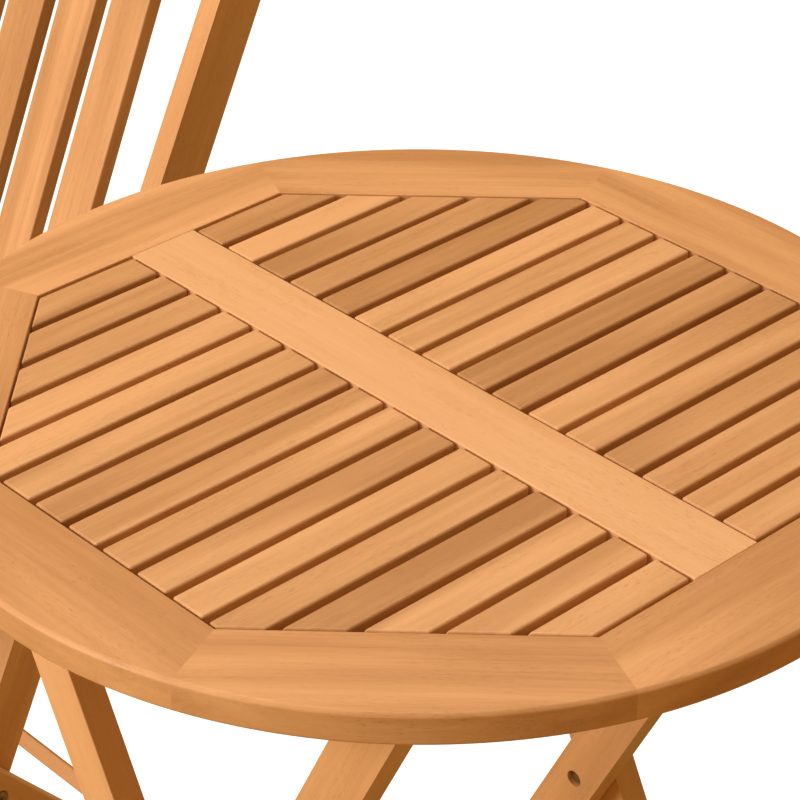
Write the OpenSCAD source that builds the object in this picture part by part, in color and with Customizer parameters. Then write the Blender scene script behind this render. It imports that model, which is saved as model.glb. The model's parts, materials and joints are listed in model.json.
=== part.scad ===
// Round folding bistro table with two folding slatted chairs.
// Frame: +Z up, floor at Z = 0, table axis on the origin, top slats along X,
// centre rail along Y. One chair stands on each side of the table along Y and
// both face -X.

/* [Table top] */
// Diameter of the round top
top_diameter = 600; // [540:5:740]
// Height of the top surface above the floor
table_height = 740; // [700:5:780]
// Thickness of rim, rail and slats
top_thickness = 20; // [16:1:26]
// Width of the rim, square to the sides of its octagonal opening
rim_width = 66.5; // [55:0.5:80]
// Width of the centre rail
rail_width = 49; // [35:1:70]
// Number of slats in each bank
slat_count = 16; // [10:1:18]
// Gap between neighbouring slats
slat_gap = 5; // [3:0.5:8]
// Gap at the ends of the slats
slat_end_gap = 1.2; // [0.6:0.1:3]
// Height of the easing on the outer top edge
rim_easing = 2; // [1:0.5:4]

/* [Table under-frame] */
// Width of the battens under the slats
batten_width = 20; // [16:1:26]
// Depth of the battens under the slats
batten_depth = 22; // [20:1:28]
// From the opening's corners out to the middle battens, along X
mid_batten_past = 13.28; // [5:0.01:25]
// Width of the flat batten under the rail
rail_batten_width = 96; // [80:1:110]
// Depth of the flat batten under the rail
rail_batten_depth = 16; // [10:1:18]
// Battens' hold on the rim, past the opening's edge
batten_lap = 12; // [8:1:20]
// From the opening's flats in to the side battens
side_batten_inset = 20.5; // [10:0.5:30]
// Side battens' length past the hinge bolts
side_batten_past = 28; // [22:1:32]

/* [Table legs] */
// Distance of the hinge bolts from the middle, along Y
hinge_y = 170.5; // [155:0.5:178]
// Depth of a leg, seen from the side
leg_depth = 35; // [28:1:40]
// Thickness of a leg, along the crossing bolts
leg_thickness = 20; // [16:1:24]
// Height of the crossing bolts above the floor
cross_height = 361.5; // [345:0.5:375]
// Crossing bolts' distance from the middle, towards the hinge
cross_y = 6.5; // [0:0.5:12]
// Thickness of the leg stretchers
stretcher_thickness = 18; // [14:1:22]
// Width of the leg stretchers
stretcher_width = 34; // [26:1:40]
// Height of the stretchers
stretcher_height = 120; // [90:1:160]
// Height of the inner frame's top bar
top_bar_height = 25; // [20:1:30]

/* [Chair frame] */
// Distance of each chair's centre line from the table's axis
chair_offset = 602; // [590:1:680]
// Front foot of the chairs, along X from the table's axis
chair_front_x = -162.5; // [-175:0.5:-150]
// Total height of the chair
chair_height = 832; // [800:1:860]
// Clear width between the uprights
chair_inner_width = 342; // [320:1:380]
// Lean of the uprights from the vertical
upright_lean = 26; // [24:0.5:27]
// Depth of uprights and rear legs, seen from the side
upright_depth = 38; // [32:1:42]
// Thickness of uprights, rear legs and seat rails
chair_board = 18; // [15:1:22]
// Height of the crossing of uprights and rear legs
chair_cross_height = 222; // [212:1:232]
// Bevel at the top ends of the uprights
top_bevel = 9; // [4:1:14]
// Slope of the rear legs from the horizontal
rear_leg_slope = 49.5; // [48:0.5:51]
// Distance from the crossing to the seat axle, and from it to the slide pins
link_length = 285; // [275:1:292]
// Angle left between uprights and rear legs when folded
folded_angle = 8.5; // [8:0.5:12]
// Distance along the upright to the front stretcher's lower edge
front_bar_start = 120; // [90:5:160]
// Height of the slim bar across the rear legs
rear_bar_height = 68; // [50:1:120]
// Width of the slim bar, along the rear legs
rear_bar_width = 14; // [10:1:24]
// Thickness of the slim bar
rear_bar_thickness = 12; // [9:1:16]

/* [Chair back] */
// Back slats on each side of the middle
back_slat_pairs = 2; // [1:1:2]
// Width of a back slat
back_slat_width = 40; // [28:1:42]
// Thickness of a back slat
back_slat_thickness = 12; // [8:1:14]
// Gap between the two middle back slats
back_middle_gap = 11.3; // [8:0.1:24]
// Gap between a middle back slat and the next one out
back_outer_gap = 17.3; // [8:0.1:24]
// Slats and top rail behind the uprights' centre line
back_set = 3; // [0:0.5:3]
// From the top end of the uprights down to the top rail
top_rail_drop = 16; // [10:1:30]
// Width of the top rail
top_rail_width = 42; // [30:1:46]
// Thickness of the back's rails
back_rail_thickness = 17; // [14:1:20]
// Distance along the upright to the lower rail's lower edge
low_rail_start = 560; // [540:1:600]
// Width of the lower rail
low_rail_width = 34; // [26:1:40]
// Lean of the back slats against the uprights
back_slat_turn = 2.4; // [2:0.1:2.6]

/* [Chair seat] */
// Number of seat slats
seat_slat_count = 6; // [5:1:7]
// Gap between neighbouring seat slats
seat_slat_gap = 8; // [5:1:12]
// Thickness of a seat slat
seat_slat_thickness = 12; // [10:1:14]
// Depth of a seat rail
seat_rail_depth = 24; // [20:1:24]
// Seat in front of the axle
seat_overhang = 28; // [20:1:34]
// From the slide pins forward to the rearmost slat
rear_slat_start = 8; // [6:1:14]

/* [Hardware] */
// Diameter of the pivot bolts and slide pins
bolt_diameter = 8; // [6:1:10]
// Diameter of the bolt heads
head_diameter = 13; // [11:1:15]
// Depth of a bolt head
head_depth = 3; // [2:0.5:4]
// Bolt heads' depth below the face that they are sunk in
head_recess = 0.5; // [0.3:0.1:1]
// Diameter of the nuts' counterbores in the inner legs
nut_bore_diameter = 12; // [11:0.5:14]
// Nuts' depth below the inner legs' faces
nut_recess = 3.7; // [1:0.1:5]
// Bolts' length past the nuts
bolt_past_nut = 1.5; // [0:0.5:2.5]
// Diameter of the seat axle
axle_diameter = 10; // [8:1:12]
// Diameter of the spacers on the seat axle
spacer_diameter = 18; // [15:1:20]

/* [Clearances] */
// Radial clearance of a turning pin
running_clearance = 0.06; // [0.03:0.01:0.1]
// Side gap between boards that swing past each other
swing_gap = 1; // [0.6:0.1:2]
// Gap where one body rests on another
rest_gap = 0.3; // [0.2:0.1:0.6]
// Radial clearance of the slide pins in their grooves
groove_clearance = 0.3; // [0.2:0.1:0.5]

/* [Hidden] */
// Longer than anything here, for cutting planes
far = 2000;

// Rings and round outlines
$fn = 96;

// Table, derived
top_radius = top_diameter / 2;
top_underside = table_height - top_thickness;
octagon_apothem = top_radius - rim_width;
slat_pitch = 2 * octagon_apothem / slat_count;
slat_width = slat_pitch - slat_gap;
side_batten_x = octagon_apothem - side_batten_inset - batten_width / 2;
outer_leg_face = side_batten_x - batten_width / 2 - swing_gap;
outer_leg_x = outer_leg_face - leg_thickness / 2;
inner_leg_x = outer_leg_x - leg_thickness - swing_gap;
inner_leg_face = inner_leg_x + leg_thickness / 2;
hinge_height = top_underside - batten_depth;
hinge_run = hinge_y - cross_y;
leg_lean = atan(hinge_run / (hinge_height - cross_height));
hinge_reach = (hinge_height - cross_height) / cos(leg_lean);
hinge_boss_depth = batten_depth + leg_depth / 2 + head_recess;
mid_batten_x = octagon_apothem * tan(22.5) + mid_batten_past;
mid_batten_half = octagon_apothem * sqrt(2) - mid_batten_x + batten_lap;
side_batten_front = hinge_y + side_batten_past;
side_batten_back = batten_width - hinge_y;
top_bar_top = hinge_height - rest_gap;
top_bar_y = cross_y - (top_bar_top - top_bar_height / 2 - cross_height) * tan(leg_lean);
top_bar_depth = leg_depth - 1;
stop_depth = 14;
stop_width = 22;

// Hardware, derived
bolt_r = bolt_diameter / 2;
running_r = bolt_r + running_clearance;
head_r = head_diameter / 2;
head_bore_r = head_r + 0.5;
nut_bore_r = nut_bore_diameter / 2;
nut_r = nut_bore_r - 0.4;
nut_bore_depth = nut_recess + head_depth + rest_gap;
axle_r = axle_diameter / 2;
axle_running_r = axle_r + running_clearance;

// Chair, derived. The side plane has a, rearwards from the front foot, and z.
upright_in = chair_inner_width / 2;
upright_out = upright_in + chair_board;
rear_leg_in = upright_out + swing_gap;
rear_leg_out = rear_leg_in + chair_board;
seat_rail_out = upright_in - swing_gap;
seat_rail_in = seat_rail_out - chair_board;
upright_length = chair_height / cos(upright_lean);
top_rail_start = upright_length - top_rail_drop - top_rail_width;
cross_a = chair_cross_height * tan(upright_lean);
cross_run = chair_cross_height / cos(upright_lean);
groove_slack = 2;
axle_a = cross_a - link_length * cos(rear_leg_slope);
axle_z = chair_cross_height + link_length * sin(rear_leg_slope);
link_angle = 90 - rear_leg_slope + upright_lean;
slide_low = cross_run + 2 * link_length * cos(link_angle);
slide_high = cross_run + 2 * link_length * cos(folded_angle) + groove_slack;
slide_a = slide_low * sin(upright_lean);
slide_z = slide_low * cos(upright_lean);
seat_tilt = atan2(axle_z - slide_z, slide_a - axle_a);
seat_length = link_length + seat_overhang - rear_slat_start;
seat_slat_pitch = (seat_length + seat_slat_gap) / seat_slat_count;
back_pitch = back_slat_width + back_outer_gap;
back_first_y = (back_middle_gap + back_slat_width) / 2;
low_rail_front = seat_rail_depth / 2 + 1;
groove_depth = 9;
groove_half = bolt_r + groove_clearance;

LETTERS = ["a", "b"];
SIDES = ["left", "right"];

// ---------- shared helpers ----------

// Extrudes a (y, z) outline along X, centred on x.
module across_x(x, width) {
    translate([x - width / 2, 0, 0]) rotate([90, 0, 90]) linear_extrude(width) children();
}

// Extrudes an (x, z) outline along Y, centred on y.
module across_y(y, width) {
    translate([0, y + width / 2, 0]) rotate([90, 0, 0]) linear_extrude(width) children();
}

// A cylinder along X from x0 to x1, through (y, z).
module rod_x(x0, x1, y, z, r) {
    translate([min(x0, x1), y, z]) rotate([0, 90, 0]) cylinder(r = r, h = abs(x1 - x0));
}

// A cylinder along Y from y0 to y1, through (x, z).
module rod_y(x, z, y0, y1, r) {
    translate([x, max(y0, y1), z]) rotate([90, 0, 0]) cylinder(r = r, h = abs(y1 - y0));
}

// ---------- table top ----------

// The regular octagon with flats parallel to X and Y, grown by grow.
module octagon(grow = 0) {
    circle(r = (octagon_apothem + grow) / cos(22.5), $fn = 8);
}

module turned_octagon(grow = 0) {
    rotate(22.5) octagon(grow);
}

// One eighth of the rim, with its mitres on the octagon's corners.
module rim_segment(i) {
    color("#c98f52")
    intersection() {
        difference() {
            rotate_extrude($fn = 180) polygon([
                [0, top_underside + rim_easing / 2],
                [0, table_height],
                [top_radius - rim_easing, table_height],
                [top_radius, table_height - rim_easing],
                [top_radius, top_underside + rim_easing],
                [top_radius - rim_easing, top_underside],
                [0, top_underside]]);
            translate([0, 0, top_underside - 1])
                linear_extrude(top_thickness + 2) turned_octagon();
        }
        rotate(45 * i)
            translate([0, 0, top_underside - 1]) linear_extrude(top_thickness + 2)
                polygon([[0, 0], [far * cos(22.5), -far * sin(22.5)], [far * cos(22.5), far * sin(22.5)]]);
    }
}

module centre_rail() {
    color("#d29a5c")
    translate([-rail_width / 2, -octagon_apothem, top_underside])
        cube([rail_width, 2 * octagon_apothem, top_thickness]);
}

// One bank of slats; side is -1 for left and 1 for right.
module top_slats(side) {
    inner = rail_width / 2 + slat_end_gap;
    color("#d09555")
    for (i = [0 : slat_count - 1])
        intersection() {
            translate([side > 0 ? inner : -far, -octagon_apothem + slat_pitch * i + slat_gap / 2, top_underside])
                cube([far - inner, slat_width, top_thickness]);
            translate([0, 0, top_underside - 1])
                linear_extrude(top_thickness + 2) turned_octagon(-slat_end_gap);
            if (side < 0)
                translate([-far, -far, 0]) cube([far - inner, 2 * far, far]);
        }
}

module rail_batten() {
    color("#b97f45")
    translate([-rail_batten_width / 2, -octagon_apothem - batten_lap, top_underside - rail_batten_depth])
        cube([rail_batten_width, 2 * (octagon_apothem + batten_lap), rail_batten_depth]);
}

module mid_batten(side) {
    cut = batten_depth * 0.6;
    color("#b97f45")
    across_x(side * mid_batten_x, batten_width) polygon([
        [-mid_batten_half, top_underside],
        [-mid_batten_half, top_underside - batten_depth + cut],
        [-mid_batten_half + cut, hinge_height],
        [mid_batten_half - cut, hinge_height],
        [mid_batten_half, top_underside - batten_depth + cut],
        [mid_batten_half, top_underside]]);
}

// The side battens are deeper at the hinge end, where the legs are bolted on.
module side_batten(side) {
    slope = hinge_boss_depth - batten_depth;
    boss_start = hinge_y - leg_depth;
    color("#b97f45")
    difference() {
        across_x(side * side_batten_x, batten_width) polygon([
            [side_batten_back, top_underside],
            [side_batten_back, top_underside - batten_depth / 2],
            [side_batten_back + batten_depth / 2, hinge_height],
            [boss_start, hinge_height],
            [boss_start + slope, top_underside - hinge_boss_depth],
            [side_batten_front - slope / 2, top_underside - hinge_boss_depth],
            [side_batten_front, top_underside - hinge_boss_depth + slope / 2],
            [side_batten_front, top_underside]]);
        rod_x(side * (outer_leg_face - 1), side * (side_batten_x + batten_width), hinge_y, hinge_height, bolt_r);
        rod_x(side * (side_batten_x + batten_width / 2 - head_depth), side * (side_batten_x + batten_width),
              hinge_y, hinge_height, head_bore_r);
    }
}

// Blocks that the inner frame's top bar stands against.
module rest_stops() {
    color("#b97f45")
    for (side = [-1, 1])
        translate([side * mid_batten_x - batten_width / 2,
                   top_bar_y - top_bar_depth / 2 - rest_gap - stop_width, hinge_height - stop_depth])
            cube([batten_width, stop_width, stop_depth]);
}

module top_pivot_bolts() {
    outer = side_batten_x + batten_width / 2;
    color("#6e5638")
    for (side = [-1, 1]) {
        rod_x(side * (outer_leg_face - leg_thickness + 4), side * (outer - head_depth), hinge_y, hinge_height, bolt_r);
        rod_x(side * (outer - head_depth), side * (outer - head_recess), hinge_y, hinge_height, head_r);
    }
}

// ---------- table legs ----------

// Side outline of a leg that leans towards dir * Y at the top.
module leg_outline(dir) {
    translate([cross_y, 0]) {
        intersection() {
            translate([0, cross_height]) rotate(-dir * leg_lean)
                translate([-leg_depth / 2, -far]) square([leg_depth, far + hinge_reach]);
            translate([-far, 0]) square([2 * far, 2 * far]);
        }
        translate([dir * hinge_run, hinge_height]) circle(d = leg_depth);
    }
}

module outer_leg(side) {
    color("#c98f52")
    difference() {
        across_x(side * outer_leg_x, leg_thickness) leg_outline(1);
        rod_x(side * (inner_leg_face - 1), side * (outer_leg_face + 1), cross_y, cross_height, bolt_r);
        rod_x(side * (outer_leg_face - head_depth), side * (outer_leg_face + 1),
              cross_y, cross_height, head_bore_r);
        rod_x(side * (outer_leg_face - leg_thickness + 3), side * (outer_leg_face + 1),
              hinge_y, hinge_height, running_r);
    }
}

module inner_leg(side) {
    inner_face = inner_leg_face - leg_thickness;
    color("#c98f52")
    difference() {
        across_x(side * inner_leg_x, leg_thickness) leg_outline(-1);
        rod_x(side * (inner_face - 1), side * (inner_leg_face + 1), cross_y, cross_height, running_r);
        rod_x(side * (inner_face - 1), side * (inner_face + nut_bore_depth), cross_y, cross_height, nut_bore_r);
    }
}

// Bolts of the leg crossing, with a countersunk head outside and a nut inside.
module leg_cross_bolts() {
    nut_face = inner_leg_face - leg_thickness + nut_recess;
    color("#6e5638")
    for (side = [-1, 1]) {
        rod_x(side * (nut_face - bolt_past_nut), side * (outer_leg_face - head_depth),
              cross_y, cross_height, bolt_r);
        rod_x(side * (outer_leg_face - head_depth), side * (outer_leg_face - head_recess),
              cross_y, cross_height, head_r);
        rod_x(side * nut_face, side * (nut_face + head_depth), cross_y, cross_height, nut_r);
    }
}

// A stretcher on the outer edges of two legs that lean towards dir * Y at the
// top. It spans 2 * reach.
module leg_stretcher(dir, reach) {
    run = (stretcher_height - cross_height) / cos(leg_lean);
    color("#c98f52")
    across_x(0, 2 * reach)
        translate([cross_y, cross_height]) rotate(-dir * leg_lean)
            translate([dir < 0 ? leg_depth / 2 : -leg_depth / 2 - stretcher_thickness,
                       run - stretcher_width / 2])
                square([stretcher_thickness, stretcher_width]);
}

module inner_top_bar() {
    reach = inner_leg_face - leg_thickness;
    color("#c98f52")
    translate([-reach, top_bar_y - top_bar_depth / 2, top_bar_top - top_bar_height])
        cube([2 * reach, top_bar_depth, top_bar_height]);
}

// ---------- chairs ----------
// side is 1 for chair a, beyond +Y, and -1 for chair b, beyond -Y. hand is -1
// for the chair's left pieces and 1 for its right ones, which lie at +Y.

// Puts (x, y, z) of the chair's own frame in its place beside the table.
module at_chair(side) {
    translate([chair_front_x, side * chair_offset, 0]) children();
}

// Side plane turned so that x is rearwards off the upright and y runs up it.
module along_upright() {
    rotate(-upright_lean) children();
}

// Side plane turned so that x is rearwards along the rear leg from the
// crossing and y is out of its upper face.
module along_rear_leg() {
    translate([cross_a, chair_cross_height]) rotate(-rear_leg_slope) children();
}

// Side plane turned so that x runs forward along the seat from the slide pin
// (negative) and y is out of the seat's top.
module along_seat() {
    translate([slide_a, slide_z]) rotate(-seat_tilt) mirror([1, 0]) children();
}

module chair_upright(side, hand) {
    in_face = hand * upright_in;
    half = upright_depth / 2;
    color("#c98f52")
    at_chair(side)
    difference() {
        across_y(hand * (upright_in + chair_board / 2), chair_board)
            intersection() {
                along_upright() polygon([
                    [-half, -far], [half, -far],
                    [half, upright_length - top_bevel], [half - top_bevel, upright_length],
                    [top_bevel - half, upright_length], [-half, upright_length - top_bevel]]);
                translate([-far, 0]) square([2 * far, 2 * far]);
            }
        rod_y(cross_a, chair_cross_height, in_face - hand, hand * (upright_out + 1), bolt_r);
        rod_y(cross_a, chair_cross_height, in_face - hand, hand * (upright_in + head_depth), head_bore_r);
        // groove of the seat's slide pin, a little wider at its round ends
        across_y(hand * (upright_in + groove_depth / 2 - 0.5), groove_depth + 1)
            along_upright() translate([-groove_half, slide_low])
                square([2 * groove_half, slide_high - slide_low]);
        for (run = [slide_low, slide_high])
            rod_y(run * sin(upright_lean), run * cos(upright_lean), in_face - hand,
                  hand * (upright_in + groove_depth), groove_half + 0.1);
    }
}

module chair_top_rail(side) {
    color("#c98f52")
    at_chair(side) across_y(0, chair_inner_width) along_upright()
        translate([back_set - back_rail_thickness / 2, top_rail_start])
            square([back_rail_thickness, top_rail_width]);
}

module chair_low_back_rail(side) {
    color("#c98f52")
    at_chair(side) across_y(0, chair_inner_width) along_upright()
        translate([low_rail_front, low_rail_start]) square([back_rail_thickness, low_rail_width]);
}

// Back slats stand on the lower rail and lean forward to the top rail's
// underside, with their ends cut to lie flat on both.
module chair_back_slats(side) {
    drop = top_rail_start - low_rail_start - low_rail_width;
    foot = drop * tan(back_slat_turn);
    half = back_slat_thickness / 2 / cos(back_slat_turn);
    color("#d29a5c")
    at_chair(side)
    for (hand = [-1, 1], i = [0 : back_slat_pairs - 1])
        across_y(hand * (back_first_y + i * back_pitch), back_slat_width)
            along_upright() translate([back_set, top_rail_start])
                polygon([[-half, 0], [foot - half, -drop], [foot + half, -drop], [half, 0]]);
}

module chair_front_stretcher(side) {
    color("#c98f52")
    at_chair(side) across_y(0, chair_inner_width) along_upright()
        translate([-stretcher_thickness / 2, front_bar_start]) square([stretcher_thickness, stretcher_width]);
}

// Bolts of the chair's crossing: a head sunk in the rear leg, a nut sunk in
// the upright.
module chair_cross_bolts(side) {
    color("#6e5638")
    at_chair(side)
    for (hand = [-1, 1]) {
        rod_y(cross_a, chair_cross_height, hand * (upright_in + head_depth),
              hand * (rear_leg_out - head_depth), bolt_r);
        rod_y(cross_a, chair_cross_height, hand * (upright_in + head_recess),
              hand * (upright_in + head_depth), head_r);
        rod_y(cross_a, chair_cross_height, hand * (rear_leg_out - head_depth),
              hand * (rear_leg_out - head_recess), head_r);
    }
}

module chair_rear_leg(side, hand) {
    color("#c98f52")
    at_chair(side)
    difference() {
        across_y(hand * (rear_leg_in + chair_board / 2), chair_board) {
            intersection() {
                along_rear_leg() translate([-link_length, -upright_depth / 2])
                    square([far, upright_depth]);
                translate([-far, 0]) square([2 * far, 2 * far]);
            }
            translate([axle_a, axle_z]) circle(d = upright_depth);
        }
        rod_y(cross_a, chair_cross_height, hand * (rear_leg_in - 1), hand * (rear_leg_out + 1), running_r);
        rod_y(cross_a, chair_cross_height, hand * (rear_leg_out - head_depth - rest_gap),
              hand * (rear_leg_out + 1), head_bore_r);
        rod_y(axle_a, axle_z, hand * (rear_leg_in - 1), hand * (rear_leg_out + 1), axle_r);
    }
}

// Slim bar across the upper faces of the rear legs.
module chair_rear_stretcher(side) {
    run = (chair_cross_height - rear_bar_height) / sin(rear_leg_slope);
    color("#d29a5c")
    at_chair(side) across_y(0, 2 * rear_leg_out) along_rear_leg()
        translate([run - rear_bar_width / 2, upright_depth / 2]) square([rear_bar_width, rear_bar_thickness]);
}

// Steel axle through both rear legs and the front of the seat, with spacers.
module chair_seat_axle(side) {
    color("#6e5638")
    at_chair(side) {
        rod_y(axle_a, axle_z, -rear_leg_out, rear_leg_out, axle_r);
        for (hand = [-1, 1])
            rod_y(axle_a, axle_z, hand * (seat_rail_out + rest_gap), hand * rear_leg_in, spacer_diameter / 2);
    }
}

module chair_seat_rail(side, hand) {
    color("#c98f52")
    at_chair(side)
    difference() {
        across_y(hand * (seat_rail_in + chair_board / 2), chair_board) along_seat() {
            translate([0, -seat_rail_depth / 2])
                square([link_length + seat_overhang - seat_rail_depth / 2, seat_rail_depth]);
            circle(d = seat_rail_depth);
            translate([link_length + seat_overhang - seat_rail_depth / 2, 0]) circle(d = seat_rail_depth);
        }
        rod_y(axle_a, axle_z, hand * (seat_rail_in - 1), hand * (seat_rail_out + 1), axle_running_r);
        rod_y(slide_a, slide_z, hand * (seat_rail_in - 1), hand * (seat_rail_out + 1), bolt_r);
    }
}

module chair_seat_slats(side) {
    color("#d29a5c")
    at_chair(side)
    for (i = [0 : seat_slat_count - 1])
        across_y(0, 2 * seat_rail_out) along_seat()
            translate([rear_slat_start + i * seat_slat_pitch, seat_rail_depth / 2])
                square([seat_slat_pitch - seat_slat_gap, seat_slat_thickness]);
}

module chair_slide_pins(side) {
    color("#6e5638")
    at_chair(side)
    for (hand = [-1, 1])
        rod_y(slide_a, slide_z, hand * seat_rail_in, hand * (upright_in + groove_depth - 1), bolt_r);
}

// ---------- what is drawn ----------

for (i = [1:8])
    rim_segment(i);
centre_rail();
rail_batten();
rest_stops();
top_pivot_bolts();
leg_cross_bolts();
leg_stretcher(1, outer_leg_face);  // outer_stretcher
leg_stretcher(-1, inner_leg_face);  // inner_stretcher
inner_top_bar();
for (k = [0:1]) {
    hand = 2 * k - 1;
    top_slats(hand);
    mid_batten(hand);
    side_batten(hand);
    outer_leg(hand);
    inner_leg(hand);
}
for (c = [0:1]) {
    side = 1 - 2 * c;
    name = str("chair_", LETTERS[c], "_");
    chair_top_rail(side);
    chair_low_back_rail(side);
    chair_back_slats(side);
    chair_front_stretcher(side);
    chair_cross_bolts(side);
    chair_rear_stretcher(side);
    chair_seat_axle(side);
    chair_seat_slats(side);
    chair_slide_pins(side);
    for (k = [0:1]) {
        hand = 2 * k - 1;
        chair_upright(side, hand);
        chair_rear_leg(side, hand);
        chair_seat_rail(side, hand);
    }
}
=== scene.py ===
"""Looks of a folding patio dining set: a round slatted table and two slatted chairs.

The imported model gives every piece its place. Each wooden node is copied,
merged and given eased edges, and every board gets its own grain direction,
tone and figure. Slats and screws are laid out by Geometry Nodes.
"""

from __future__ import annotations

import json
import logging
import math
import random
from collections.abc import Callable
from dataclasses import dataclass, field
from enum import Enum

import bmesh
import bpy
from mathutils import Euler, Matrix, Vector

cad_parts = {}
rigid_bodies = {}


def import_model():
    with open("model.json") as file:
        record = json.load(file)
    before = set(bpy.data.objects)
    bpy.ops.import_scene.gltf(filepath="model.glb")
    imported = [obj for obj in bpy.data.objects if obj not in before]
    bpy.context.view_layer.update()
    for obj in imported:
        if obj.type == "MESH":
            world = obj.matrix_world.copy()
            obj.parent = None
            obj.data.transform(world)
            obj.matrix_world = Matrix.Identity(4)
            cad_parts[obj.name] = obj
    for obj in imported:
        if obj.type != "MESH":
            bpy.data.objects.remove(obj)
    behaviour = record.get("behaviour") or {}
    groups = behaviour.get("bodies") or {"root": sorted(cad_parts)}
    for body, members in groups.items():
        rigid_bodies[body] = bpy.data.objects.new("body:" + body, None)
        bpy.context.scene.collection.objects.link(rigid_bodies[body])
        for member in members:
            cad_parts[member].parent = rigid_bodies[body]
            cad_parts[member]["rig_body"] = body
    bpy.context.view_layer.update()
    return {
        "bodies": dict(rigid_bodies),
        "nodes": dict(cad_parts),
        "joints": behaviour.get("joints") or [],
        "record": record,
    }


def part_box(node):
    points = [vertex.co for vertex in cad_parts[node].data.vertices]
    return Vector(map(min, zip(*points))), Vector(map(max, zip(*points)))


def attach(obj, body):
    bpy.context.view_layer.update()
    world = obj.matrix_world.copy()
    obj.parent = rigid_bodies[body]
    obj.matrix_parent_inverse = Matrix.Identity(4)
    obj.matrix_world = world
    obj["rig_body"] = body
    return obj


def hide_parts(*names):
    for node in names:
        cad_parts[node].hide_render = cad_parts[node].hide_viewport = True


LOG = logging.getLogger("patio_set")
MM = 0.001
MERGE = 0.02 * MM
OCTAGON = 8
HALF_CORNER = math.pi / OCTAGON
GRAIN = "grain"
TONE = "tone"
Colour = tuple[float, float, float]
Scale = tuple[float, float, float]
Place = tuple[Vector, Vector]


class Side(Enum):
    """The left or right hand of a pair of pieces, and its sign along the pair's axis."""

    LEFT = -1
    RIGHT = 1

    @property
    def word(self) -> str:
        """The side's name as the nodes spell it."""
        return self.name.lower()


class Figure(Enum):
    """How strongly the growth rings show in a cut of wood."""

    PLAIN = 0.06
    LIVELY = 0.11


def placed(name: str, data: bpy.types.ID) -> bpy.types.Object:
    """Return a new object at the origin, linked to the scene.

    Args:
        name: The object's name.
        data: Its mesh, light or camera.

    Returns:
        The object.
    """
    made = bpy.data.objects.new(name, data)
    bpy.context.scene.collection.objects.link(made)
    return made


def frozen(mesh: bmesh.types.BMesh, name: str) -> bpy.types.Mesh:
    """Turn a bmesh into a plain mesh.

    Args:
        mesh: The bmesh; it is freed.
        name: The plain mesh's name.

    Returns:
        The plain mesh.
    """
    data = bpy.data.meshes.new(name)
    mesh.to_mesh(data)
    mesh.free()
    return data


# ---------------------------------------------------------------- node trees


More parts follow.
